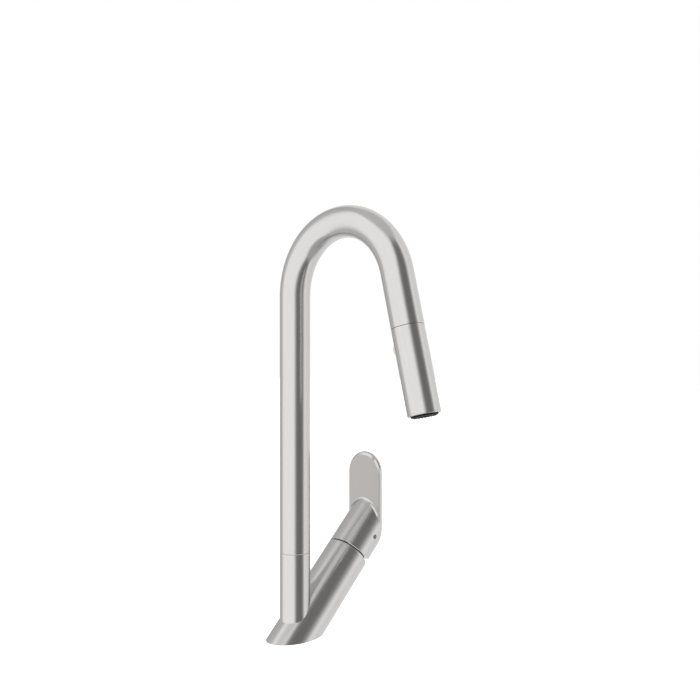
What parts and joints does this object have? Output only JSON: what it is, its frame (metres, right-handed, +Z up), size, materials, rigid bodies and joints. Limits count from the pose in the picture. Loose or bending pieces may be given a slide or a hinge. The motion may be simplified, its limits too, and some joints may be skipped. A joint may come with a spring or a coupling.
{
  "type": "pull down kitchen faucet",
  "caption": "Single-hole kitchen faucet: leaning barrel with a paddle lever, upright tube bent over at the top, and a flush spray head that pulls down.",
  "frame": {"origin": "on the worktop's surface, at the centre of the mounting hole, where the upright tube's axis meets it", "axes": "+Z up along the upright tube, -Y towards the user, the way the spout reaches, and +X the way the barrel and its handle lean"},
  "size_m": [0.1395, 0.2061, 0.4955],
  "materials": {
    "brushed_steel": "satin brushed stainless steel",
    "brass": "machined brass",
    "plain_steel": "turned stainless steel",
    "rubber": "moulded black rubber",
    "acetal": "moulded white acetal",
    "grey_plastic": "moulded grey plastic",
    "ceramic": "lapped alumina ceramic",
    "magnet": "sintered ferrite",
    "braided_hose": "braided nylon over a rubber hose",
    "black_plastic": "moulded black plastic",
    "silicone": "moulded black silicone"
  },
  "bodies": {
    "root": {"body_casting": "brushed_steel", "foot_seal": "rubber", "mounting_shank": "brass", "clamp_gasket": "rubber", "clamp_washer": "plain_steel", "mounting_nut": "brass", "clamp_screws": "plain_steel", "supply_nipples": "brass", "outlet_nipple": "brass", "swivel_post": "brass", "thrust_ring": "acetal", "post_bearings": "acetal", "friction_ring": "rubber", "retaining_clip": "plain_steel", "cartridge_base": "grey_plastic", "port_seals": "rubber", "fixed_disc": "ceramic", "cartridge_housing": "grey_plastic", "cartridge_nut": "brass", "dome_cover": "plain_steel"},
    "rotor": {"cartridge_rotor": "acetal", "spindle_pin": "plain_steel"},
    "disc_carriage": {"moving_disc": "ceramic", "disc_carrier": "acetal"},
    "handle": {"lever_spindle": "plain_steel", "handle": "brushed_steel", "set_screw": "plain_steel"},
    "spout": {"spout_tube": "brushed_steel", "spout_liner": "acetal", "stop_screw": "plain_steel", "outlet_collar": "acetal", "docking_magnet": "magnet", "spray_hose": "braided_hose", "spray_hose_outlet": "braided_hose", "hose_end_fitting": "brass"},
    "spray_head": {"hose_coupling": "brass", "coupling_washer": "rubber", "head_shell": "brushed_steel", "head_core": "acetal", "keeper_ring": "plain_steel", "check_valve": "acetal", "button_spring": "plain_steel", "face_gasket": "rubber", "spray_face": "black_plastic", "spray_nozzles": "silicone", "aerator": "black_plastic"},
    "button": {"spray_button": "brushed_steel", "diverter_spool": "acetal"}
  },
  "joints": [
    {"name": "spout_swivel", "type": "hinge", "parent": "root", "child": "spout", "pos_m": [0, 0, 0.0832], "axis": [0, 0, 1], "range_deg": [-60, 60]},
    {"name": "head_pull", "type": "slide", "parent": "spout", "child": "spray_head", "axis": [0, -0.2385, -0.9711], "range_m": [0, 0.2], "deforming": ["spray_hose_outlet"]},
    {"name": "button_press", "type": "slide", "parent": "spray_head", "child": "button", "axis": [0, -0.9711, 0.2385], "range_m": [0, 0.0016], "stiffness_N_per_m": 600, "deforming": ["button_spring"]},
    {"name": "temperature_turn", "type": "hinge", "parent": "root", "child": "rotor", "pos_m": [0, 0, 0], "axis": [0.7314, 0, 0.682], "range_deg": [-45, 45]},
    {"name": "lever_lift", "type": "hinge", "parent": "rotor", "child": "handle", "pos_m": [0.07566, 0, 0.07055], "axis": [0, 1, 0], "range_deg": [0, 20]},
    {"name": "disc_slide", "type": "slide", "parent": "rotor", "child": "disc_carriage", "axis": [0.682, 0, -0.7314], "range_m": [-0.0049, 0]}
  ],
  "couplings": [
    {"joint": "disc_slide", "follows": "lever_lift", "m_per_rad": -0.01378}
  ]
}
